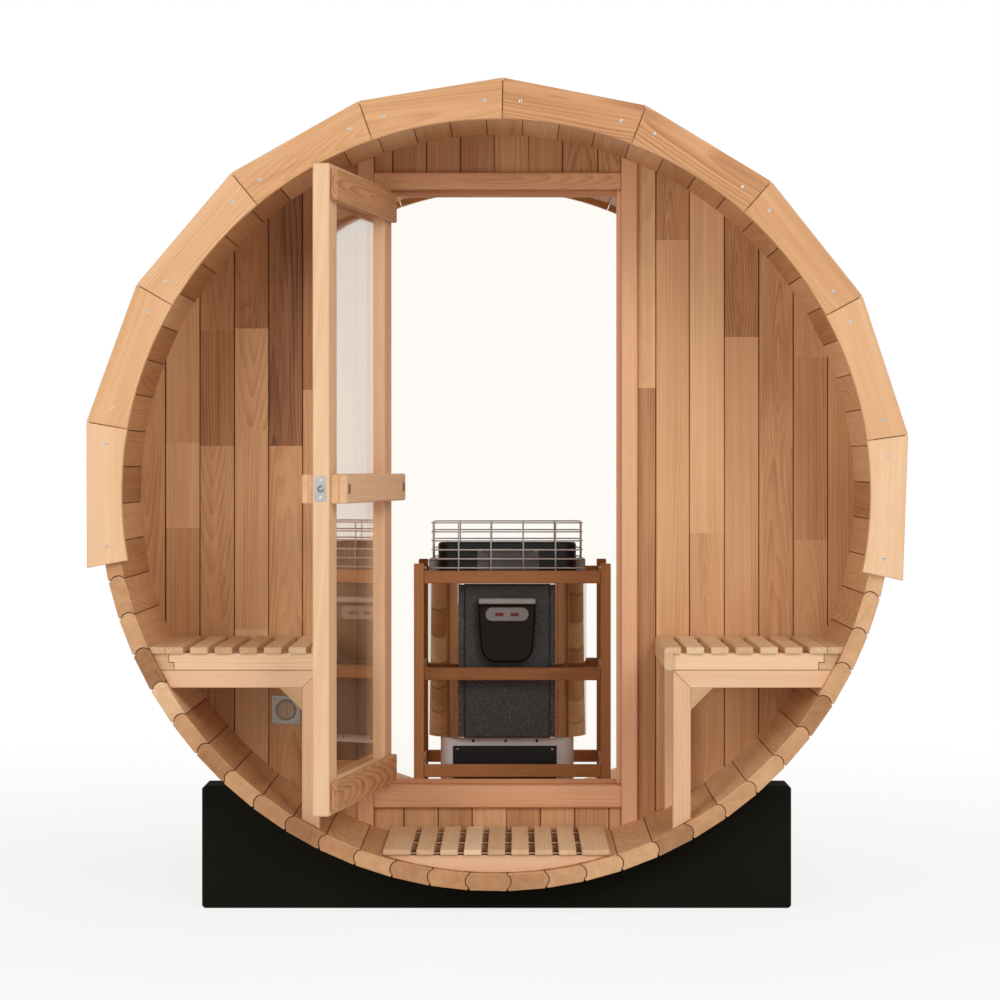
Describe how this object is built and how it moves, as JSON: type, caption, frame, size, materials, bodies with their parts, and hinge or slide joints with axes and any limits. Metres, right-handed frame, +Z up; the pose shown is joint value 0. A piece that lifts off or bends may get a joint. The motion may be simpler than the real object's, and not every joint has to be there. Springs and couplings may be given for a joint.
{
  "type": "barrel sauna",
  "caption": "Round coopered wooden sauna on two cradles, with a porch, side benches, a hinged glass door, a clear round rear window and an electric heater in a guard.",
  "frame": {"origin": "ground level under the middle of the whole part, with the door standing open", "axes": "+Z up, the porch faces -Y, +X to the right as seen from the front"},
  "size_m": [1.8847, 1.7488, 1.9251],
  "materials": {
    "stave_cedar": "planed, unfinished",
    "fascia_cedar": "planed, unfinished",
    "roof_cedar": "planed, unfinished",
    "wall_cedar": "planed, unfinished",
    "casing_cedar": "planed, unfinished",
    "door_cedar": "planed, unfinished",
    "bench_cedar": "planed, unfinished",
    "guard_wood": "stained",
    "cradle_black": "matt moulded",
    "hoop_steel": "satin",
    "vent_steel": "satin",
    "latch_steel": "satin",
    "door_glass": "clear",
    "window_clear": "clear",
    "jacket_steel": "polished",
    "panel_dark": "speckled powder coat",
    "control_black": "satin",
    "tray_black": "matt",
    "cage_wire": "polished wire"
  },
  "bodies": {
    "shell": {"barrel_hoops": "hoop_steel", "door_header_and_sill": "casing_cedar", "door_jambs": "casing_cedar", "door_stops": "casing_cedar", "duckboard_bearers": "bench_cedar", "duckboard_slats": "bench_cedar", "front_cradle": "cradle_black", "front_fascia": "fascia_cedar", "front_wall_foot": "wall_cedar", "front_wall_head": "wall_cedar", "front_wall_left": "wall_cedar", "front_wall_right": "wall_cedar", "heater_base": "jacket_steel", "heater_cage": "cage_wire", "heater_control": "control_black", "heater_front_panel": "panel_dark", "heater_guard": "guard_wood", "heater_jacket": "jacket_steel", "heater_tray": "tray_black", "jamb_hinge_leaves": "latch_steel", "left_bench_brackets": "bench_cedar", "left_bench_cleats": "bench_cedar", "left_bench_slats": "bench_cedar", "rear_cradle": "cradle_black", "rear_fascia": "fascia_cedar", "rear_window": "window_clear", "right_bench_brackets": "bench_cedar", "right_bench_cleats": "bench_cedar", "right_bench_slats": "bench_cedar", "roof_arches": "roof_cedar", "roof_left": "roof_cedar", "roof_right": "roof_cedar", "staves_bottom": "stave_cedar", "staves_left": "stave_cedar", "staves_lower_left": "stave_cedar", "staves_lower_right": "stave_cedar", "staves_right": "stave_cedar", "staves_top": "stave_cedar", "staves_upper_left": "stave_cedar", "staves_upper_right": "stave_cedar", "wall_vent": "vent_steel"},
    "door": {"door_stiles": "door_cedar", "door_rails": "door_cedar", "door_glass": "door_glass", "door_inner_boards": "door_cedar", "door_inner_handle": "door_cedar", "door_outer_handle": "door_cedar", "door_latch": "latch_steel", "door_hinge_leaves": "latch_steel"}
  },
  "joints": [
    {"name": "door_hinge", "type": "hinge", "parent": "shell", "child": "door", "pos_m": [-0.3015, -0.2796, 0.971], "axis": [0, 0, 1], "range_deg": [0, 100.8]}
  ]
}
